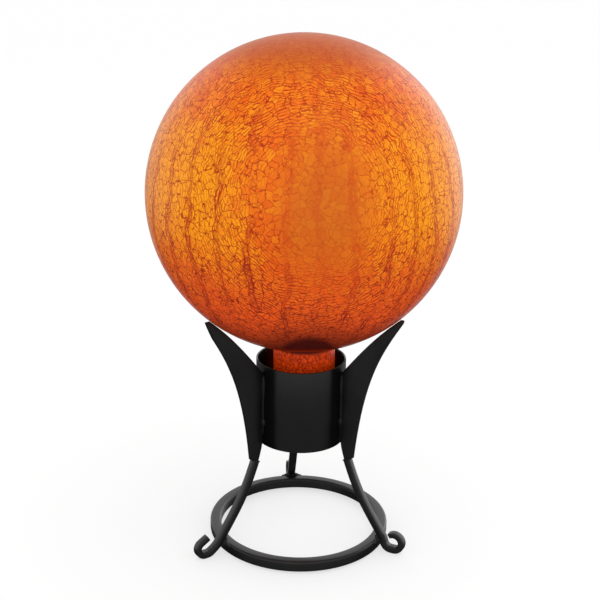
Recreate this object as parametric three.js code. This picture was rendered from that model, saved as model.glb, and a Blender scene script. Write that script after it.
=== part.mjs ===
// Gazing globe: a blown glass globe with an open neck, held by an iron stand with three leaves and scroll feet.
// Millimetres, +Z up. The origin is on the ground under the middle of the globe, and the rear leg is on +Y.
import * as THREE from "three";

// Globe
const globeRadius = 127;
const glassWall = 2.5;
const neckRadius = 26;
const neckLength = 43;
const neckFillet = 2.5;
const globeLean = 1; // degrees that the loose globe sits askew, its neck towards +X

// Collar that the neck hangs in
const collarRadius = 38;
const collarWall = 1.6;
const collarHeight = 71.4;
const collarLift = 90.8;
const globeDrop = 13.2; // from the collar's rim up to the globe's lowest point

// Base ring, a rounded square bar
const ringRadius = 73.1;
const ringBar = 9.5;
const ringEdge = 2;
const ringLift = 2;

// Legs, a forged bar that ends in a scroll
const legWidth = 7;
const legThickness = 6;
const legEdge = 1;
const jointHeight = 76.5;
const jointRadius = 42.7;
const hipAngle = 70; // slope of the bar under its leaf, in degrees below the horizontal
const shinAngle = 56; // slope where the bar crosses the ring
const footFlat = 2.6;
const tipThickness = 4.4;

// Leaves, tapered plates between the collar and the globe
const leafThickness = 3;
const leafEdge = 0.5;
const leafLip = 2.9; // how far a leaf's lower end stands out over the bar
const leafFoot = 99; // height where a leaf meets the collar
const leafShoulder = 6.6; // from the collar's rim down to where a leaf leaves it
const seatAngle = 40.8; // from the globe's lowest point round to where a leaf carries it
const tipLead = 6;
const tipWidth = 5;
const tipCrown = 2; // how far the rounded tip stands out
const heelSlope = 73; // slopes of the leaf's edges, in degrees: under the collar,
const throatSlope = 51; // over the collar's rim,
const backSlope = 58; // down from the tip
const lipSlope = 84.5; // and into the bar

// How long each drawn curve holds its first and its last heading, as shares of its span
const thighHold = [0.4, 0.5];
const ankleHold = [0.35, 0.4];
const heelHold = [0.35, 0.35];
const throatHold = [0.15, 0.4];
const backHold = [0.28, 0.54];

const weldGap = 0.3; // left between pieces that are welded together or rest on each other

// The legs are bent by hand, so their scrolls and leaves differ a little.
// scroll is the radius of its bend and reach its distance from the ring. The bar comes into it at the slope
// entry, turns up to the heading curl and ends in a straight tail. belly widens the leaf's upper half.
const legs = [
  { side: "rear", azimuth: 91.5, scroll: 6.2, reach: 14.5, entry: 36, curl: 165, tail: 6, belly: 0 },
  { side: "left", azimuth: 210, scroll: 6.1, reach: 16.2, entry: 32, curl: 150, tail: 7.5, belly: 1.4 },
  { side: "right", azimuth: 330, scroll: 6.9, reach: 12, entry: 42, curl: 216, tail: 0, belly: -1.2 },
];

// Heights and radii that follow
const collarTop = collarLift + collarHeight;
const globeHeight = collarTop + globeDrop + globeRadius;
const ringOuter = ringRadius + ringBar / 2;
const ringTop = ringLift + ringBar;

const glass = { color: 0xd9600f, roughness: 0.06, metalness: 0 };
const iron = { color: 0x26241f, roughness: 0.5, metalness: 0.7 };

const group = new THREE.Group();

// Adds one named piece.
function addPiece(name, geometry, finish) {
  const mesh = new THREE.Mesh(geometry, new THREE.MeshStandardMaterial(finish));
  mesh.name = name;
  group.add(mesh);
  return mesh;
}

// A point in a plane, from a start, a heading in degrees and a distance.
function step(from, heading, distance) {
  const angle = THREE.MathUtils.degToRad(heading);
  return new THREE.Vector2(from.x + distance * Math.cos(angle), from.y + distance * Math.sin(angle));
}

// Points on an arc about a centre, from one angle to another in degrees.
function arcPoints(centre, radius, from, to, count) {
  const points = [];
  for (let i = 0; i <= count; i += 1) points.push(step(centre, from + ((to - from) * i) / count, radius));
  return points;
}

// A curve that leaves one point at a heading and comes into another at a heading.
function sweepCurve(from, headingFrom, to, headingTo, [holdFrom, holdTo]) {
  const span = from.distanceTo(to);
  return new THREE.CubicBezierCurve(
    from,
    step(from, headingFrom, span * holdFrom),
    step(to, headingTo, -span * holdTo),
    to,
  );
}

// A profile of radii and heights turned about +Z.
function turned(profile, segments) {
  return new THREE.LatheGeometry(profile, segments).rotateX(Math.PI / 2);
}

// A side view of radii and heights, made a plate of the given width that stands on the +X half plane.
function plate(outline, width, edge) {
  const geometry = new THREE.ExtrudeGeometry(new THREE.Shape(outline), {
    depth: width - 2 * edge,
    bevelThickness: edge,
    bevelSize: edge,
    bevelOffset: -edge,
    bevelSegments: 1,
  });
  return geometry.rotateX(Math.PI / 2).translate(0, width / 2 - edge, 0);
}

// The globe's shell about its own centre: down the outside from the top, round the neck's lip and up the inside.
function globeGeometry() {
  const centre = new THREE.Vector2(0, 0);
  const innerRadius = globeRadius - glassWall;
  const neckInner = neckRadius - glassWall;
  const neckEnd = -globeRadius - neckLength;
  const lip = glassWall / 2;
  const outerTurn = THREE.MathUtils.radToDeg(Math.acos((neckRadius + neckFillet) / (globeRadius + neckFillet)));
  const innerTurn = THREE.MathUtils.radToDeg(Math.acos((neckInner + neckFillet) / (innerRadius + neckFillet)));
  const filletCentre = step(centre, -outerTurn, globeRadius + neckFillet);
  const innerFillet = step(centre, -innerTurn, innerRadius + neckFillet);
  const profile = [
    ...arcPoints(centre, globeRadius, 90, -outerTurn, 20),
    ...arcPoints(filletCentre, neckFillet, 180 - outerTurn, 180, 3).slice(1),
    ...arcPoints(new THREE.Vector2(neckRadius - lip, neckEnd + lip), lip, 0, -180, 4),
    ...arcPoints(innerFillet, neckFillet, 180, 180 - innerTurn, 3),
    ...arcPoints(centre, innerRadius, -innerTurn, 90, 15).slice(1),
  ];
  profile[0].x = 0;
  profile[profile.length - 1].x = 0;
  return turned(profile.reverse(), 48);
}

// The collar: a tube open at both ends, with its rims softened.
function collarGeometry() {
  const rim = collarWall / 2;
  const middle = collarRadius - rim;
  const profile = [
    ...arcPoints(new THREE.Vector2(middle, collarTop - rim), rim, 0, 180, 4),
    ...arcPoints(new THREE.Vector2(middle, collarLift + rim), rim, 180, 360, 4),
  ];
  profile.push(profile[0].clone());
  return turned(profile, 56);
}

// The base ring: a square bar with rounded edges, bent into a circle.
function ringGeometry() {
  const half = ringBar / 2 - ringEdge;
  const middle = ringLift + ringBar / 2;
  const profile = [];
  for (const [outward, upward, start] of [[1, 1, 0], [-1, 1, 90], [-1, -1, 180], [1, -1, 270]]) {
    const corner = new THREE.Vector2(ringRadius + outward * half, middle + upward * half);
    profile.push(...arcPoints(corner, ringEdge, start, start + 90, 2));
  }
  profile.push(profile[0].clone());
  return turned(profile, 64);
}

// Stations along a curve, each a point with its heading.
function alongCurve(curve, count) {
  const stations = [];
  for (let i = 0; i <= count; i += 1) {
    const tangent = curve.getTangent(i / count);
    const heading = THREE.MathUtils.radToDeg(Math.atan2(tangent.y, tangent.x));
    stations.push({ at: curve.getPoint(i / count), heading });
  }
  return stations;
}

// Stations round a bend, from one heading to another.
function roundBend(centre, radius, from, to, count) {
  const stations = [];
  for (let i = 0; i <= count; i += 1) {
    const heading = from + ((to - from) * i) / count;
    stations.push({ at: step(centre, heading - 90, radius), heading });
  }
  return stations;
}

// A leg's middle line, seen from the side: down from its leaf, over the ring's outer edge, level along the ground
// and up into the scroll. The bar is drawn out thinner from the foot to the tip.
function legGeometry(leg) {
  const half = legThickness / 2;
  const top = step(new THREE.Vector2(jointRadius, jointHeight), 90 - hipAngle, half);
  const ringCorner = new THREE.Vector2(ringOuter - ringEdge, ringTop - ringEdge);
  const overRing = step(ringCorner, 90 - shinAngle, ringEdge + weldGap + half);
  const bendIn = new THREE.Vector2(ringOuter + leg.reach - footFlat / 2, leg.scroll + half);
  const bendOut = new THREE.Vector2(bendIn.x + footFlat, bendIn.y);
  const scrollStart = step(bendIn, -90 - leg.entry, leg.scroll);
  const thigh = sweepCurve(top, -hipAngle, overRing, -shinAngle, thighHold);
  const ankle = sweepCurve(overRing, -shinAngle, scrollStart, -leg.entry, ankleHold);
  const bar = [
    ...alongCurve(thigh, 14),
    ...alongCurve(ankle, 5).slice(1),
    ...roundBend(bendIn, leg.scroll, -leg.entry, 0, 3).slice(1),
  ];
  const scroll = roundBend(bendOut, leg.scroll, 0, leg.curl, 14);
  if (leg.tail > 0) scroll.push({ at: step(scroll.at(-1).at, leg.curl, leg.tail), heading: leg.curl });
  const inside = [];
  const outside = [];
  bar.forEach(({ at, heading }) => {
    inside.push(step(at, heading + 90, half));
    outside.push(step(at, heading - 90, half));
  });
  scroll.forEach(({ at, heading }, i) => {
    const drawn = THREE.MathUtils.lerp(legThickness, tipThickness, i / (scroll.length - 1)) / 2;
    inside.push(step(at, heading + 90, drawn));
    outside.push(step(at, heading - 90, drawn));
  });
  return plate([...outside, ...inside.reverse()], legWidth, legEdge);
}

// A leaf, seen from the side: up the collar, out to the globe's seat, round its blunt tip and down its outer edge.
function leafGeometry(leg) {
  const wall = collarRadius + weldGap;
  const seat = step(new THREE.Vector2(0, globeHeight), seatAngle - 90, globeRadius + weldGap);
  const innerFoot = step(new THREE.Vector2(jointRadius, jointHeight), 180 - hipAngle, weldGap);
  const outerFoot = step(innerFoot, 90 - hipAngle, legThickness + leafLip);
  const heel = new THREE.Vector2(wall, leafFoot);
  const shoulder = new THREE.Vector2(wall, collarTop - leafShoulder);
  const tipInner = step(seat, seatAngle, tipLead);
  const tipOuter = step(tipInner, seatAngle - 90, tipWidth + leg.belly);
  const tip = step(tipInner.clone().lerp(tipOuter, 0.5), seatAngle, 2 * tipCrown);
  const rise = sweepCurve(innerFoot, 180 - heelSlope, heel, 90, heelHold);
  const throat = sweepCurve(shoulder, throatSlope, seat, seatAngle, throatHold);
  const end = new THREE.QuadraticBezierCurve(tipInner, tip, tipOuter);
  const back = sweepCurve(tipOuter, backSlope - 180, outerFoot, lipSlope - 180, backHold);
  const outline = [
    ...rise.getPoints(4),
    ...throat.getPoints(10),
    ...end.getPoints(4),
    ...back.getPoints(18).slice(1),
  ];
  return plate(outline, leafThickness, leafEdge);
}

const globe = addPiece("globe", globeGeometry(), glass);
globe.position.z = globeHeight;
globe.rotation.y = THREE.MathUtils.degToRad(-globeLean);
addPiece("collar", collarGeometry(), iron);
addPiece("base_ring", ringGeometry(), iron);
for (const leg of legs) {
  const turn = THREE.MathUtils.degToRad(leg.azimuth);
  addPiece(`leg_${leg.side}`, legGeometry(leg), iron).rotation.z = turn;
  addPiece(`leaf_${leg.side}`, leafGeometry(leg), iron).rotation.z = turn;
}

export default group;
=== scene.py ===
# Dresses the gazing globe: smooth blown glass full of fine cracks, on a stand of black forged iron.
# Sizes are in millimetres, and become metres where an operator takes them. Angles are in degrees.
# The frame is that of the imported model.
import math
import random

import bpy
from mathutils import Matrix, Vector


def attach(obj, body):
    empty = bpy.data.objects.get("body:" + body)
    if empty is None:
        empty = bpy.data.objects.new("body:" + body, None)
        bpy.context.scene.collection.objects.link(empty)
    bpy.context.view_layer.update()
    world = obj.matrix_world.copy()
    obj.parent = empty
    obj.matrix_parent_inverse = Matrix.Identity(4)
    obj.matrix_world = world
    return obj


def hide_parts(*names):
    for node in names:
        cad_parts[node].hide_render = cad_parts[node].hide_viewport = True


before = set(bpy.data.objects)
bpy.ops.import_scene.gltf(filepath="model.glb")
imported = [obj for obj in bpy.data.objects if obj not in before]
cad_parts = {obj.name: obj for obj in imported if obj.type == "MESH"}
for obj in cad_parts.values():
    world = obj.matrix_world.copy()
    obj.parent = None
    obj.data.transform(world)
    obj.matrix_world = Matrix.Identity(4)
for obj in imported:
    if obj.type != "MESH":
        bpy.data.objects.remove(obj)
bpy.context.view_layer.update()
chance = random.Random(12)

MM = 0.001
NEAR = 0.01
SEGMENTS = 128

# Globe
GLOBE_RADIUS = 127
GLOBE_HEIGHT = 302.4
GLOBE_LEAN = -1
GLASS_WALL = 2.5
NECK_RADIUS = 26
NECK_LENGTH = 43
NECK_FILLET = 2.5
NECK_END = GLOBE_HEIGHT - GLOBE_RADIUS - NECK_LENGTH
LIP_ROUND = 1.1
FILLET_STEPS = 4
NECK_STEPS = 6

# Cracks in the glass: cells in a metre, the widths of lines, and the distance between wavy cracks
NET_CELLS = 165
NET_LINE = 0.41
SPLINTER_CELLS = 340
SPLINTER_LINE = 0.42
WAVE_STEP = 2.4
CHAINS = 31

# Zones of the globe in metres from its middle, each from where it starts to where it is full
SIDES = (0.04, 0.11)
SIDES_BELOW = (0.1, 0.03)
LOW = (0.01, -0.095)
FOOT = (-0.07, -0.11)
CROWN = (0.092, 0.12)
NECK = (-0.126, -0.130)

# The painted reflection in the middle of the front, and the painted shade above the neck's mouth: a place in
# metres, and one over the half-widths
REFLECTION_MIDDLE = (0.007, -0.12, 0.014)
REFLECTION_SHAPE = (28, 12, 16)
NECK_SHADE_MIDDLE = (0, 0, -0.120)
NECK_SHADE_SHAPE = (1 / 0.024, 0, 1 / 0.032)

# Colours of the glass
AMBER = (1.0, 0.35, 0.003, 1)
ORANGE = (0.82, 0.114, 0.002, 1)
# A paler orange: the painted reflection of a soft light in the middle of the front.
REFLECTION_ORANGE = (0.53, 0.106, 0.006, 1)
RED_ORANGE = (0.86, 0.08, 0.001, 1)
# Brown at the foot: painted shade under the globe, over darker, thicker glass there.
FOOT_SHADE_BROWN = (0.2, 0.027, 0.004, 1)
CROWN_BROWN = (0.42, 0.075, 0.006, 1)
CRACK_RED = (0.36, 0.019, 0.001, 1)
CRACK_BROWN = (0.18, 0.008, 0.001, 1)
NECK_RED = (0.7, 0.055, 0.002, 1)
NECK_CRACK = (0.25, 0.012, 0.001, 1)
# Painted shade on the glass above the neck.
NECK_SHADE_DARK = (0.04, 0.001, 0.001, 1)
BLACK = (0, 0, 0, 1)

# Collar
COLLAR_RADIUS = 38
COLLAR_WALL = 1.6
COLLAR_LOW = 90.8
COLLAR_TOP = 162.2
RIM_ROUND = 0.6

# Base ring
RING_RADIUS = 73.1
RING_BAR = 9.5
RING_EDGE = 2
RING_LIFT = 2
RING_OUTER = RING_RADIUS + RING_BAR / 2
RING_TOP = RING_LIFT + RING_BAR

# Legs: the hip and the shin slope down by their angles, and the joint is out from the axis and up
BAR_WIDTH = 7
BAR_THICKNESS = 6
BAR_EDGE = 1.3
TIP_THICKNESS = 4.4
JOINT = Vector((42.7, 76.5))
HIP_ANGLE = 70
SHIN_ANGLE = 56
FOOT_FLAT = 2.6
WELD_GAP = 0.3
LEGS = [
    {"side": "rear", "azimuth": 91.5, "scroll": 6.2, "reach": 14.5, "entry": 36, "curl": 165,
     "tail": 6, "seam": 11},
    {"side": "left", "azimuth": 210, "scroll": 6.1, "reach": 16.2, "entry": 32, "curl": 150,
     "tail": 7.5, "seam": 15},
    {"side": "right", "azimuth": 330, "scroll": 6.9, "reach": 12, "entry": 42, "curl": 216,
     "tail": 0, "seam": 14},
]

# Leaves. Each corner of a rounded tip is drawn some way out and up.
LEAF_HALF = 1.5
LEAF_EDGE = 0.25
TIP_CORNERS = [
    ((91.7, 205.2), (-1.4, 0.9)),
    ((91.75, 207.25), (-0.5, 1.2)),
    ((91.1, 208.7), (0.3, 0.8)),
    ((88.5, 200.1), (-0.6, 0.4)),
]
TIP_REACH = 0.75

# Welds of a leaf to the collar: the bead's height, length and radius, and how far out of the leaf's side
COLLAR_WELDS = [
    (127.5, 54, 1.0, -0.1),
    (144, 20, 1.7, 0.3),
    (112, 7, 2.0, 0.6),
]

# Bright strips behind the object: a direction, how near to it the light starts and is full, its strength
BRIGHT_STRIPS = [
    ((0.18, 0.96, 0.2), 0.5, 0.99, 0.85),
    ((-0.81, 0.52, 0.26), 0.7, 0.97, 0.72),
    ((0.81, 0.52, 0.26), 0.7, 0.97, 1.05),
]
STUDIO_WHITE = 1.05

# Camera: its place in metres, its turns in radians, and its lens
CAMERA_PLACE = (-0.0619, -0.8851, 0.5107)
CAMERA_YAW = 0.0678
CAMERA_PITCH = 0.324
CAMERA_ROLL = 0.016
CAMERA_LENS = 67.7
CAMERA_SENSOR = 36


# Modelling by hand

def start(operator, name, **settings):
    """Adds a primitive with nothing else selected and leaves it in edit mode, selected all over."""
    if bpy.context.object and bpy.context.object.mode == "EDIT":
        bpy.ops.object.mode_set(mode="OBJECT")
    bpy.ops.object.select_all(action="DESELECT")
    operator(**settings)
    piece = bpy.context.object
    piece.name = name
    piece.data.name = name
    bpy.ops.object.transform_apply(location=True, rotation=True, scale=True)
    bpy.ops.object.mode_set(mode="EDIT")
    bpy.ops.mesh.select_mode(type="VERT")
    bpy.ops.mesh.select_all(action="SELECT")
    return piece


def pick(piece, kind, test):
    """Selects the vertices, edges or faces whose ends all pass a test on their place in millimetres."""
    bpy.ops.mesh.select_mode(type=kind)
    bpy.ops.mesh.select_all(action="DESELECT")
    bpy.ops.object.mode_set(mode="OBJECT")
    mesh = piece.data
    good = [test(vertex.co / MM) for vertex in mesh.vertices]
    if kind == "VERT":
        for vertex, passed in zip(mesh.vertices, good):
            vertex.select = passed
    else:
        for part in mesh.edges if kind == "EDGE" else mesh.polygons:
            part.select = all(good[index] for index in part.vertices)
    bpy.ops.object.mode_set(mode="EDIT")


def turn(angle, axis, about):
    """Turns what is selected by the right-hand rule. Without a window Blender turns it the other way."""
    bpy.ops.transform.rotate(
        value=-math.radians(angle), orient_axis=axis, orient_type="GLOBAL", center_override=about * MM
    )


def stretch(factors, about):
    """Scales what is selected along X, Y and Z about a point."""
    bpy.ops.transform.resize(value=factors, orient_type="GLOBAL", center_override=about * MM)


def draw_out(by):
    """Extrudes what is selected and moves the new part."""
    bpy.ops.mesh.extrude_region_move(TRANSFORM_OT_translate={"value": by * MM, "orient_type": "GLOBAL"})


def round_edges(width, steps):
    """Bevels the selected edges."""
    bpy.ops.mesh.bevel(offset=width * MM, segments=steps, profile=0.5, clamp_overlap=True)


def tidy():
    """Merges doubled points and makes the faces look outwards."""
    bpy.ops.mesh.select_mode(type="VERT")
    bpy.ops.mesh.select_all(action="SELECT")
    bpy.ops.mesh.remove_doubles(threshold=0.00001)
    bpy.ops.mesh.normals_make_consistent(inside=False)


def give_wall(piece, thickness):
    """Turns a skin into a wall that grows inwards."""
    bpy.ops.object.mode_set(mode="OBJECT")
    wall = piece.modifiers.new("wall", "SOLIDIFY")
    wall.thickness = thickness * MM
    wall.offset = -1
    wall.use_even_offset = True
    bpy.ops.object.modifier_apply(modifier=wall.name)
    bpy.ops.object.mode_set(mode="EDIT")


def finish_piece(piece, finish, replaces=(), sharp=35):
    """Smooths a piece, gives it its material and its body, and hides the model's parts that it replaces."""
    if piece.mode == "EDIT":
        bpy.ops.object.mode_set(mode="OBJECT")
    bpy.ops.object.select_all(action="DESELECT")
    piece.select_set(True)
    bpy.context.view_layer.objects.active = piece
    bpy.ops.object.shade_smooth_by_angle(angle=math.radians(sharp))
    piece.data.materials.clear()
    piece.data.materials.append(finish.material)
    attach(piece, "root")
    if replaces:
        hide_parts(*replaces)


def joined(pieces, name):
    """Joins pieces into one object."""
    bpy.ops.object.mode_set(mode="OBJECT")
    bpy.ops.object.select_all(action="DESELECT")
    for piece in pieces:
        piece.select_set(True)
    bpy.context.view_layer.objects.active = pieces[0]
    bpy.ops.object.join()
    pieces[0].name = name
    pieces[0].data.name = name
    return pieces[0]


# Paths, in a leg's own upright plane of radius and height

def step(point, heading, distance):
    """The point at a distance from another, along a heading in degrees."""
    angle = math.radians(heading)
    return point + Vector((math.cos(angle), math.sin(angle))) * distance


def sweep_curve(a, heading_a, b, heading_b, holds, count):
    """Stations along a curve from a to b that holds each end's heading for a share of the span."""
    span = (b - a).length
    handle_a = step(a, heading_a, span * holds[0])
    handle_b = step(b, heading_b, -span * holds[1])
    stations = []
    for i in range(count + 1):
        t = i / count
        u = 1 - t
        point = a * u**3 + handle_a * (3 * u * u * t)
        point += handle_b * (3 * u * t * t) + b * t**3
        slope = (handle_a - a) * (u * u) + (handle_b - handle_a) * (2 * u * t)
        slope += (b - handle_b) * (t * t)
        stations.append((point, math.degrees(math.atan2(slope.y, slope.x))))
    return stations


def bend(centre, radius, heading_a, heading_b, count):
    """Stations round a bend."""
    stations = []
    for i in range(count + 1):
        heading = heading_a + (heading_b - heading_a) * i / count
        stations.append((step(centre, heading - 90, radius), heading))
    return stations


def leg_path(leg):
    """A leg's middle line, with the thickness of the bar at each station."""
    half = BAR_THICKNESS / 2
    top = step(JOINT, 90 - HIP_ANGLE, half)
    corner = Vector((RING_OUTER - RING_EDGE, RING_TOP - RING_EDGE))
    over_ring = step(corner, 90 - SHIN_ANGLE, RING_EDGE + WELD_GAP + half)
    bend_in = Vector((RING_OUTER + leg["reach"] - FOOT_FLAT / 2, leg["scroll"] + half))
    bend_out = bend_in + Vector((FOOT_FLAT, 0))
    scroll_start = step(bend_in, -90 - leg["entry"], leg["scroll"])
    path = sweep_curve(top, -HIP_ANGLE, over_ring, -SHIN_ANGLE, (0.4, 0.5), 22)
    path += sweep_curve(over_ring, -SHIN_ANGLE, scroll_start, -leg["entry"], (0.35, 0.4), 8)[1:]
    path += bend(bend_in, leg["scroll"], -leg["entry"], 0, 5)[1:]
    scroll = bend(bend_out, leg["scroll"], 0, leg["curl"], 26)
    if leg["tail"]:
        end = scroll[-1][0]
        scroll += [(step(end, leg["curl"], leg["tail"] * part), leg["curl"]) for part in (0.35, 0.7, 1)]
    bar = [(point, heading, BAR_THICKNESS) for point, heading in path]
    for i, (point, heading) in enumerate(scroll):
        drawn = BAR_THICKNESS + (TIP_THICKNESS - BAR_THICKNESS) * i / (len(scroll) - 1)
        bar.append((point, heading, drawn))
    return bar


def upright(point, aside=0.0):
    """A point of radius and height in the plane of +X and +Z, moved aside along +Y."""
    return Vector((point.x, aside, point.y))


def forge(name, width, edge, stations, azimuth):
    """Draws a bar along stations of a point, a heading and a thickness, then turns it round the stand."""
    first, heading, thickness = stations[0]
    piece = start(bpy.ops.mesh.primitive_plane_add, name, size=MM, location=(0, 0, 0))
    stretch((thickness, width, 1), Vector())
    bpy.ops.mesh.bevel(offset=edge * MM, segments=3, affect="VERTICES")
    bpy.ops.mesh.select_all(action="SELECT")
    bpy.ops.transform.translate(value=upright(first) * MM)
    turn(90 - heading, "Y", upright(first))
    bpy.ops.mesh.select_mode(type="FACE")
    for point, new_heading, new_thickness in stations[1:]:
        draw_out(upright(point - first))
        here = upright(point)
        if new_heading != heading:
            turn(heading - new_heading, "Y", here)
        if new_thickness != thickness:
            factor = new_thickness / thickness
            stretch((factor, 1, factor), here)
        first, heading, thickness = point, new_heading, new_thickness
    tidy()
    turn(azimuth, "Z", Vector())
    return piece


def bead(point, heading, length, radius, azimuth, aside, across):
    """A weld bead: a drop stretched along its seam, or across it along the ring, and left uneven."""
    piece = start(
        bpy.ops.mesh.primitive_uv_sphere_add,
        "weld_bead",
        segments=16,
        ring_count=12,
        radius=radius * MM,
        location=(0, 0, 0),
    )
    factor = length / (2 * radius)
    if across:
        turn(90, "X", Vector())
        stretch((1, factor, 1), Vector())
    else:
        turn(90, "Y", Vector())
        stretch((factor, 1, 1), Vector())
        bpy.ops.mesh.subdivide(number_cuts=1, smoothness=0)
    turn(-heading, "Y", Vector())
    bpy.ops.transform.translate(value=upright(point, aside) * MM)
    turn(azimuth, "Z", Vector())
    bpy.ops.mesh.select_all(action="SELECT")
    bpy.ops.transform.vertex_random(offset=radius * 0.06 * MM, seed=chance.randrange(1000))
    return piece


# Materials

class Signal:
    """A number that changes over a surface. Sums with it add Math nodes."""

    def __init__(self, finish, socket):
        self.finish = finish
        self.socket = socket

    def __add__(self, other):
        return self.finish.math("ADD", self, other)

    def __sub__(self, other):
        return self.finish.math("SUBTRACT", self, other)

    def __rsub__(self, other):
        return self.finish.math("SUBTRACT", other, self)

    def __mul__(self, other):
        return self.finish.math("MULTIPLY", self, other)

    __radd__ = __add__
    __rmul__ = __mul__


class Nodes:
    """The nodes of a material or of the world, and the shader that they feed."""

    def __init__(self, tree, shader):
        self.tree = tree
        self.shader = tree.nodes[shader]

    def node(self, kind, settings=(), inputs=(), output=0):
        """Adds a node, sets it, fills its sockets with values or links, and gives one of its outputs."""
        made = self.tree.nodes.new(kind)
        for key, value in dict(settings).items():
            setattr(made, key, value)
        for key, value in dict(inputs).items():
            if isinstance(value, Signal):
                self.tree.links.new(value.socket, made.inputs[key])
            else:
                made.inputs[key].default_value = value
        return Signal(self, made.outputs[output])

    def math(self, operation, *values):
        return self.node("ShaderNodeMath", {"operation": operation}, enumerate(values))

    def feed(self, socket, signal):
        self.tree.links.new(signal.socket, self.shader.inputs[socket])

    def mix(self, factor, low, high):
        """A colour between two."""
        return self.node("ShaderNodeMix", {"data_type": "RGBA"}, {0: factor, 6: low, 7: high}, output=2)

    def place(self, location=(0, 0, 0)):
        """The point on the object, moved by a location."""
        here = self.node("ShaderNodeTexCoord", output="Object")
        return self.node("ShaderNodeMapping", inputs={"Vector": here, "Location": location})

    def vector(self, operation, *values, output=0):
        return self.node("ShaderNodeVectorMath", {"operation": operation}, enumerate(values), output)

    def axis(self, where, name):
        """One of a vector's own numbers, X, Y or Z."""
        return self.node("ShaderNodeSeparateXYZ", inputs={0: where}, output=name)

    def length(self, where):
        return self.vector("LENGTH", where, output="Value")

    def toward(self, where, direction):
        """How nearly a vector points in a direction, 1 when it does."""
        return self.vector("DOT_PRODUCT", where, direction, output="Value")

    def noise(self, where, scale, detail=2.0, roughness=0.5, output="Fac"):
        inputs = {"Vector": where, "Scale": scale, "Detail": detail, "Roughness": roughness}
        return self.node("ShaderNodeTexNoise", inputs=inputs, output=output)

    def shaken(self, where, scale, reach):
        """The same points, moved about by up to a reach in millimetres."""
        spread = self.noise(where, scale, 2, 0.6, "Color")
        push = self.vector("SUBTRACT", spread, (0.5, 0.5, 0.5))
        return self.vector("MULTIPLY_ADD", push, (4 * reach * MM,) * 3, where)

    def ramp(self, value, low, high, start=0.0, end=1.0):
        """Goes smoothly from start to end as the value goes from low to high."""
        inputs = {"Value": value, 1: low, 2: high, 3: start, 4: end}
        if high < low:
            inputs.update({1: high, 2: low, 3: end, 4: start})
        return self.node("ShaderNodeMapRange", {"interpolation_type": "SMOOTHSTEP"}, inputs)

    def cracks(self, where, scale, width):
        """Lines between irregular cells, 1 on the line. The width is in millimetres."""
        inputs = {"Vector": where, "Scale": scale}
        settings = {"feature": "DISTANCE_TO_EDGE"}
        gap = self.node("ShaderNodeTexVoronoi", settings, inputs, output="Distance")
        edge = width * MM * scale
        return self.ramp(gap, 0.3 * edge, edge, 1, 0)

    def cells(self, where, scale):
        """A random number for each cell between the cracks of the same scale: its random colour as a grey."""
        inputs = {"Vector": where, "Scale": scale}
        return self.node("ShaderNodeTexVoronoi", {"feature": "F1"}, inputs, "Color") + 0

    def bump(self, height, strength, distance):
        inputs = {"Height": height, "Strength": strength, "Distance": distance * MM}
        self.feed("Normal", self.node("ShaderNodeBump", inputs=inputs))


class Finish(Nodes):
    """A material on the Principled shader, whose constants are set on its own sockets."""

    def __init__(self, name, **constants):
        self.material = bpy.data.materials.new(name)
        self.material.use_nodes = True
        super().__init__(self.material.node_tree, "Principled BSDF")
        for socket, value in constants.items():
            title = socket.replace("_", " ").title().replace("Ior", "IOR")
            self.shader.inputs[title].default_value = value


def globe_zones(glass, here):
    """How far each point lies in the parts of the globe that look different, from 0 to 1."""
    height = glass.axis(here, "Z")
    across = glass.math("ABSOLUTE", glass.axis(here, "X"))
    patches = glass.noise(here, 18, 3, 0.6)
    sides = glass.ramp(across + patches * 0.04, *SIDES) * glass.ramp(height, *SIDES_BELOW)
    # A painted reflection: a paler, calmer patch in the middle of the front, where a soft light shows in the
    # gloss.
    painted_reflection = glass.vector("MULTIPLY", glass.vector("SUBTRACT", here, REFLECTION_MIDDLE), REFLECTION_SHAPE)
    return {
        "height": height,
        "off_axis": glass.length(glass.vector("MULTIPLY", here, (1, 1, 0))),
        "patches": patches,
        "sides": sides,
        "low": glass.ramp(height, *LOW),
        "foot": glass.ramp(height, *FOOT),
        "top": glass.ramp(height, *CROWN),
        "neck": glass.ramp(height, *NECK),
        "painted_reflection": glass.ramp(glass.length(painted_reflection), 1.5, 0.3),
    }


def wavy_cracks(glass, here):
    """Wavy cracks in rings round the middle of the front, alike in front and behind, and the angle from that
    middle.
    """
    facing = glass.toward(glass.vector("NORMALIZE", here), (-0.03, -0.98, 0.2))
    arc = glass.math("ARCCOSINE", glass.math("ABSOLUTE", facing))
    waves = arc * (GLOBE_RADIUS / WAVE_STEP)
    waves = waves + glass.noise(here, 60, 1, 0.5) * 5 + glass.noise(here, 220, 1, 0.5) * 1.1
    ripples = glass.ramp(glass.math("ABSOLUTE", glass.math("FRACT", waves) - 0.5), 0.21, 0.11)
    return ripples * glass.ramp(arc, 0.15, 0.5), arc


def braided_chains(glass, here, zone):
    """Chains that run from pole to pole, evenly round the globe, and how the cracks crowd in them."""
    drifted = glass.shaken(here, 40, 3.4)
    angle = glass.math("ARCTAN2", glass.axis(drifted, "X"), glass.axis(drifted, "Y") * -1)
    turns = angle * (CHAINS / (2 * math.pi)) + glass.noise(here, 14, 1) * 0.8 + CHAINS
    off_chain = glass.math("ABSOLUTE", glass.math("FRACT", turns) - 0.5)
    to_chain = off_chain * zone["off_axis"] * (2 * math.pi / CHAINS)
    strength = glass.ramp(glass.noise(here, 30, 3, 0.6), 0.36, 0.6)
    strength = glass.math("MAXIMUM", strength, zone["sides"] * 0.75)
    strength = strength * glass.ramp(zone["height"], 0.09, 0.045, 0.4, 1.0)
    braid = glass.math("ABSOLUTE", to_chain - glass.noise(here, 130, 2, 0.5) * 0.003)
    seam = glass.ramp(braid, 0.0007, 0.0003) * strength
    crowd = glass.ramp(to_chain, 0.0042, 0.0015) * strength
    crowd = crowd + glass.ramp(zone["patches"], 0.5, 0.7) * 0.2 + zone["low"] * 0.2
    return seam, crowd


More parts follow.
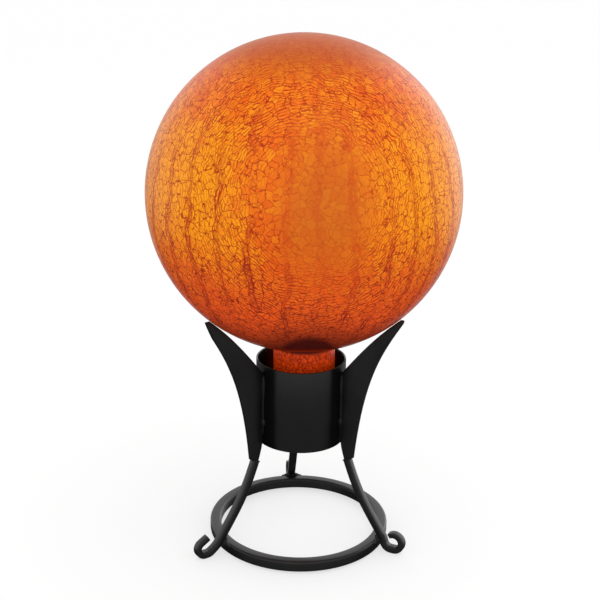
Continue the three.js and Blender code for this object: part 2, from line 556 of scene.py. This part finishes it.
def crack_lines(glass, here, zone, net, splinters, crowd, seam):
    """All the cracks together, from 0 to 1: strong in the chains, faint under the painted reflection in the
    middle of the front.
    """
    ripples, arc = wavy_cracks(glass, here)
    broken = glass.ramp(glass.noise(here, 260, 2, 0.6), 0.36, 0.54)
    short = glass.ramp(glass.noise(here, 190, 2, 0.6), 0.4, 0.56)
    panels = zone["sides"] * glass.ramp(arc, 1.3, 0.9) * (1 - crowd)
    ripples = ripples * (short * 0.6 + 0.4) * (1 - panels * 0.4)
    fine = glass.math("MAXIMUM", ripples, splinters * (crowd * 0.45 + 0.2))
    lines = glass.math("MAXIMUM", net * (broken * 0.45 + 0.5), fine)
    seam = seam * (broken * 0.3 + 0.7) * (1 - zone["painted_reflection"] * 0.75)
    lines = glass.math("MAXIMUM", lines, seam)
    return lines * (1 - zone["painted_reflection"] * 0.6) * (1 - zone["top"] * 0.5)


def painted_neck_shade(glass, here, zone):
    """Painted shade on the underside of the globe just above the neck, with a ring of it round the neck."""
    mouth = glass.vector("MULTIPLY", glass.vector("SUBTRACT", here, NECK_SHADE_MIDDLE), NECK_SHADE_SHAPE)
    mouth = glass.length(mouth)
    shadow = glass.ramp(mouth, 1.15, 0.8) * 0.65 + glass.ramp(mouth, 2.1, 1.0) * 0.35
    shadow = glass.math("MAXIMUM", shadow, glass.ramp(zone["off_axis"], 0.056, 0.044))
    return shadow * (1 - zone["neck"]) * glass.ramp(zone["height"], 0, -0.05) * 0.93


def crackled_glass():
    """Orange glass, lined with a coloured layer full of fine dark cracks, under a clear gloss."""
    glass = Finish(
        "crackled_orange_glass",
        specular_IOR_level=0.1,
        coat_roughness=0.06,
        coat_IOR=1.42,
        emission_strength=1.0,
    )
    here = glass.place((0, 0, -GLOBE_HEIGHT * MM))
    zone = globe_zones(glass, here)

    # A net of thin cracks with larger cells, and finer ones inside it.
    loose = glass.shaken(glass.shaken(here, 110, 1.8), 400, 0.5)
    net = glass.cracks(loose, NET_CELLS, NET_LINE)
    flat = glass.vector("MULTIPLY", loose, (1, 1, 0.6))
    splinters = glass.cracks(flat, SPLINTER_CELLS, SPLINTER_LINE)
    seam, crowd = braided_chains(glass, here, zone)
    lines = crack_lines(glass, here, zone, net, splinters, crowd, seam)

    # Amber in some cells and patches, and at the left and right sides as painted side light; redder below;
    # brown at the foot, painted shade under the globe over darker, thicker glass; brown on the crown.
    painted_side_light = zone["sides"] * glass.ramp(zone["height"], -0.08, 0.03)
    amber = painted_side_light * 0.58 + glass.cells(loose, NET_CELLS) * 0.4 + zone["patches"] * 0.65 - crowd * 0.2
    colour = glass.mix(glass.ramp(amber, 0.13, 1.13), ORANGE, AMBER)
    # Paler in the middle of the front: a painted reflection.
    colour = glass.mix(zone["painted_reflection"] * 0.7, colour, REFLECTION_ORANGE)
    colour = glass.mix(zone["low"], colour, RED_ORANGE)
    # Brown at the foot, partly painted shade.
    colour = glass.mix(zone["foot"] * 0.85, colour, FOOT_SHADE_BROWN)
    colour = glass.mix(zone["top"] * 0.8, colour, CROWN_BROWN)
    colour = glass.mix(lines, colour, glass.mix(zone["low"], CRACK_RED, CRACK_BROWN))

    # The neck is redder, and a little emission makes it glow inside the collar: painted light.
    speckle = glass.math("MAXIMUM", splinters * 0.8, net * 0.5)
    lit_neck = glass.mix(speckle, NECK_RED, NECK_CRACK)
    colour = glass.mix(zone["neck"], colour, lit_neck)
    glass.feed("Emission Color", glass.mix(zone["neck"] * 0.2, BLACK, lit_neck))

    # Painted shade darkens the glass just above the neck.
    glass.feed("Base Color", glass.mix(painted_neck_shade(glass, here, zone), colour, NECK_SHADE_DARK))
    glass.feed("Roughness", 0.45 + lines * 0.1)
    glass.feed("Coat Weight", 0.4 - zone["top"] * 0.16)
    return glass


def black_iron(name, base, sheen, grain):
    """Satin black paint over forged iron, a little uneven. The grain is in millimetres."""
    iron = Finish(name, specular_IOR_level=1.0)
    here = iron.place()
    cloud = iron.noise(here, 55, 4, 0.6)
    speck = iron.noise(here, 900, 2, 0.5)
    worn = iron.ramp(cloud, 0.4, 0.75)
    pale = (2.2 * base, 2.1 * base, 1.9 * base, 1)
    iron.feed("Base Color", iron.mix(worn, (base, base, base, 1), pale))
    iron.feed("Roughness", sheen + cloud * 0.14)
    iron.bump(cloud * 0.7 + speck * 0.3, 0.5, grain)
    return iron


def collar_paint():
    """The same black on the collar, with its gloss taken away in a strip beside each welded leaf: painted
    shade where the leaf darkens the collar.
    """
    paint = Finish("black_iron_collar", specular_IOR_level=0.1, coat_roughness=0.24, coat_IOR=1.8)
    here = paint.place()
    cloud = paint.noise(here, 55, 4, 0.6)
    angle = paint.math("ARCTAN2", paint.axis(here, "X"), paint.axis(here, "Y"))
    thirds = angle * (3 / (2 * math.pi)) + 3.5
    from_leaf = paint.math("ABSOLUTE", paint.math("FRACT", thirds) - 0.5) + (cloud - 0.5) * 0.03
    soot, worn = (0.0012, 0.0012, 0.0012, 1), (0.0032, 0.003, 0.0028, 1)
    paint.feed("Base Color", paint.mix(cloud, soot, worn))
    # Painted shade: the gloss fades in a strip beside each leaf.
    paint.feed("Coat Weight", paint.ramp(from_leaf, 0.155, 0.225, 0.1, 1.0))
    paint.feed("Roughness", 0.4 + cloud * 0.2)
    return paint


glass = crackled_glass()
collar_iron = collar_paint()
bar_iron = black_iron("black_iron_bar", 0.003, 0.28, 0.3)
plate_iron = black_iron("black_iron_plate", 0.0022, 0.26, 0.12)
weld_iron = black_iron("black_iron_weld", 0.0015, 0.5, 0.4)


# Pieces

def blow_globe():
    """The globe: a sphere cut open below, its edge drawn down into the neck, then given a wall."""
    middle = Vector((0, 0, GLOBE_HEIGHT))
    turned = math.degrees(math.acos((NECK_RADIUS + NECK_FILLET) / (GLOBE_RADIUS + NECK_FILLET)))
    fillet = step(Vector((0, GLOBE_HEIGHT)), -turned, GLOBE_RADIUS + NECK_FILLET)
    piece = start(
        bpy.ops.mesh.primitive_uv_sphere_add,
        "globe_glass",
        segments=SEGMENTS,
        ring_count=72,
        radius=GLOBE_RADIUS * MM,
        location=middle * MM,
    )
    mouth = step(fillet, 180 - turned, NECK_FILLET)
    bpy.ops.mesh.bisect(plane_co=(0, 0, mouth.y * MM), plane_no=(0, 0, 1), clear_inner=True)
    pick(piece, "EDGE", lambda co: abs(co.z - mouth.y) < NEAR)
    radius, level = mouth
    rings = []
    for left in reversed(range(FILLET_STEPS)):
        rings.append(step(fillet, 180 - turned * left / FILLET_STEPS, NECK_FILLET))
    bottom = rings[-1].y
    straight = bottom - NECK_END
    for part in range(1, NECK_STEPS + 1):
        rings.append(Vector((NECK_RADIUS, bottom - straight * part / NECK_STEPS)))
    for ring in rings:
        draw_out(Vector((0, 0, ring.y - level)))
        factor = ring.x / radius
        stretch((factor, factor, 1), Vector((0, 0, ring.y)))
        radius, level = ring
    tidy()
    give_wall(piece, GLASS_WALL)
    pick(piece, "EDGE", lambda co: co.z < NECK_END + NEAR)
    round_edges(LIP_ROUND, 3)
    bpy.ops.mesh.select_all(action="SELECT")
    turn(GLOBE_LEAN, "Y", middle)
    return piece


def roll_collar():
    """The collar: a tube with a softened rim at each end."""
    height = COLLAR_TOP - COLLAR_LOW
    piece = start(
        bpy.ops.mesh.primitive_cylinder_add,
        "collar_tube",
        vertices=SEGMENTS,
        radius=COLLAR_RADIUS * MM,
        depth=height * MM,
        end_fill_type="NOTHING",
        location=(0, 0, (COLLAR_LOW + height / 2) * MM),
    )
    bpy.ops.mesh.normals_make_consistent(inside=False)
    give_wall(piece, COLLAR_WALL)
    pick(piece, "EDGE", lambda co: co.z > COLLAR_TOP - NEAR)
    round_edges(RIM_ROUND, 3)
    pick(piece, "EDGE", lambda co: co.z < COLLAR_LOW + NEAR)
    round_edges(RIM_ROUND, 3)
    return piece


def bend_ring():
    """The base ring: a square section with rounded edges, spun round the stand."""
    size = RING_BAR * MM
    piece = start(bpy.ops.mesh.primitive_plane_add, "base_ring_bar", size=size, location=(0, 0, 0))
    bpy.ops.mesh.bevel(offset=RING_EDGE * MM, segments=5, affect="VERTICES")
    bpy.ops.mesh.select_all(action="SELECT")
    turn(90, "X", Vector())
    bpy.ops.transform.translate(value=Vector((RING_RADIUS, 0, RING_LIFT + RING_BAR / 2)) * MM)
    bpy.ops.mesh.select_mode(type="FACE")
    bpy.ops.mesh.delete(type="ONLY_FACE")
    bpy.ops.mesh.select_mode(type="VERT")
    bpy.ops.mesh.select_all(action="SELECT")
    bpy.ops.mesh.spin(steps=144, angle=2 * math.pi, center=(0, 0, 0), axis=(0, 0, 1))
    tidy()
    return piece


def cut_leaf(leg):
    """A leaf: its solid's plate, merged, its tip drawn to a corner and its edges dressed round."""
    side = leg["side"]
    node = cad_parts["leaf_" + side]
    bpy.ops.object.select_all(action="DESELECT")
    piece = node.copy()
    piece.data = node.data.copy()
    piece.name = "leaf_plate_" + side
    piece.data.name = piece.name
    piece.parent = None
    bpy.context.scene.collection.objects.link(piece)
    piece.select_set(True)
    bpy.context.view_layer.objects.active = piece
    bpy.ops.object.mode_set(mode="EDIT")
    tidy()
    bearing = math.radians(leg["azimuth"])
    outward = Vector((math.cos(bearing), math.sin(bearing), 0))
    for corner, (out, up) in TIP_CORNERS:
        corner = Vector(corner)
        pick(piece, "VERT", lambda co: (Vector((co.dot(outward), co.z)) - corner).length < TIP_REACH)
        bpy.ops.transform.translate(value=(outward * out + Vector((0, 0, up))) * MM)
    bpy.ops.mesh.select_all(action="SELECT")
    bpy.ops.mesh.dissolve_limited(angle_limit=math.radians(1))
    bpy.ops.object.mode_set(mode="OBJECT")
    dressing = piece.modifiers.new("dressing", "BEVEL")
    dressing.width = LEAF_EDGE * MM
    dressing.segments = 2
    dressing.limit_method = "ANGLE"
    dressing.angle_limit = math.radians(25)
    bpy.ops.object.modifier_apply(modifier=dressing.name)
    return piece


def weld_stitches(leg):
    """One leg's welds, on both sides: leaf to collar, leaf to bar, and bar to ring along and across."""
    azimuth = leg["azimuth"]
    corner = Vector((RING_OUTER - RING_EDGE, RING_TOP - RING_EDGE))
    on_ring = step(corner, 90 - SHIN_ANGLE, RING_EDGE)
    joint = step(JOINT, 90 - HIP_ANGLE, BAR_THICKNESS / 2)
    wall = COLLAR_RADIUS + 0.4
    beads = []
    for aside in (-1, 1):
        seams = []
        for height, length, radius, off in COLLAR_WELDS:
            seams.append((Vector((wall, height)), 90, length, radius, LEAF_HALF + off, False))
        seams += [
            (joint, 90 - HIP_ANGLE, 8.5, 1.1, LEAF_HALF + 0.1, False),
            (on_ring, -SHIN_ANGLE, 9, 2.0, BAR_WIDTH / 2 - 0.3, False),
            (on_ring, 0, leg["seam"], 1.6, BAR_WIDTH / 2 + leg["seam"] / 2 - 5, True),
            (on_ring, 0, 7.5, 2.5, BAR_WIDTH / 2 + 0.2, True),
        ]
        for point, heading, length, radius, off, across in seams:
            beads.append(bead(point, heading, length, radius, azimuth, aside * off, across))
    return joined(beads, "welds_" + leg["side"])


finish_piece(blow_globe(), glass, ["globe"], 40)
finish_piece(roll_collar(), collar_iron, ["collar"])
finish_piece(bend_ring(), bar_iron, ["base_ring"])
for leg in LEGS:
    side = leg["side"]
    bar = forge("leg_bar_" + side, BAR_WIDTH, BAR_EDGE, leg_path(leg), leg["azimuth"])
    finish_piece(bar, bar_iron, ["leg_" + side])
    finish_piece(cut_leaf(leg), plate_iron, ["leaf_" + side], 25)
    finish_piece(weld_stitches(leg), weld_iron, sharp=60)


# Stage: a plain pale floor, soft lights and the camera

def lay_floor():
    """A wide plain floor, out of sight of reflections."""
    floor = start(bpy.ops.mesh.primitive_plane_add, "floor", size=60, location=(0, 0, 0))
    bpy.ops.object.mode_set(mode="OBJECT")
    pale = Finish(
        "pale_floor",
        base_color=(0.32, 0.32, 0.32, 1),
        roughness=0.9,
        specular_IOR_level=0.1,
        emission_color=(1, 1, 1, 1),
        emission_strength=0.65,
    )
    floor.data.materials.append(pale.material)
    floor.visible_glossy = False


def hang_light(name, place, target, size, power):
    """A rectangular soft light that faces a point and isn't seen in reflections."""
    data = bpy.data.lights.new(name, "AREA")
    data.shape = "RECTANGLE"
    data.size, data.size_y = size
    data.energy = power
    light = bpy.data.objects.new(name, data)
    light.location = place
    light.visible_glossy = False
    light.rotation_euler = (Vector(target) - Vector(place)).to_track_quat("-Z", "Y").to_euler()
    bpy.context.scene.collection.objects.link(light)


def set_camera():
    """The photograph's own view: a long lens, from a little left and above."""
    ahead = Vector((math.sin(CAMERA_YAW), math.cos(CAMERA_YAW), 0))
    forward = ahead * math.cos(CAMERA_PITCH) - Vector((0, 0, math.sin(CAMERA_PITCH)))
    level = Vector((math.cos(CAMERA_YAW), -math.sin(CAMERA_YAW), 0))
    above = level.cross(forward)
    right = level * math.cos(CAMERA_ROLL) + above * math.sin(CAMERA_ROLL)
    up = above * math.cos(CAMERA_ROLL) - level * math.sin(CAMERA_ROLL)
    data = bpy.data.cameras.new("camera")
    data.lens = CAMERA_LENS
    data.sensor_width = CAMERA_SENSOR
    camera = bpy.data.objects.new("camera", data)
    turned = Matrix((right, up, -forward)).transposed()
    camera.matrix_world = Matrix.Translation(CAMERA_PLACE) @ turned.to_4x4()
    bpy.context.scene.collection.objects.link(camera)
    bpy.context.scene.camera = camera


def light_studio():
    """Even white light all round. Reflections see a dim room with bright strips behind the object."""
    world = bpy.data.worlds.new("studio")
    world.use_nodes = True
    studio = Nodes(world.node_tree, "Background")
    direction = studio.node("ShaderNodeTexCoord", output="Generated")
    in_front = studio.ramp(studio.toward(direction, (0, 1, 0)), -0.45, 0.05, 0.35, 0.02)
    above_floor = studio.ramp(studio.toward(direction, (0, 0, 1)), -0.4, 0.1, 0.3, 1)
    room = in_front * above_floor
    for strip, edge, core, strength in BRIGHT_STRIPS:
        room = room + studio.ramp(studio.toward(direction, strip), edge, core, 0, strength)
    glossy = studio.node("ShaderNodeLightPath", output="Is Glossy Ray")
    studio.feed("Strength", glossy * (room - STUDIO_WHITE) + STUDIO_WHITE)
    studio.shader.inputs["Color"].default_value = (1, 1, 1, 1)
    bpy.context.scene.world = world
    bpy.context.scene.view_settings.view_transform = "Standard"


lay_floor()
hang_light("top_box", (0.3, -0.3, 1.6), (0, 0, 0.2), (1.5, 1.5), 6)
light_studio()
set_camera()
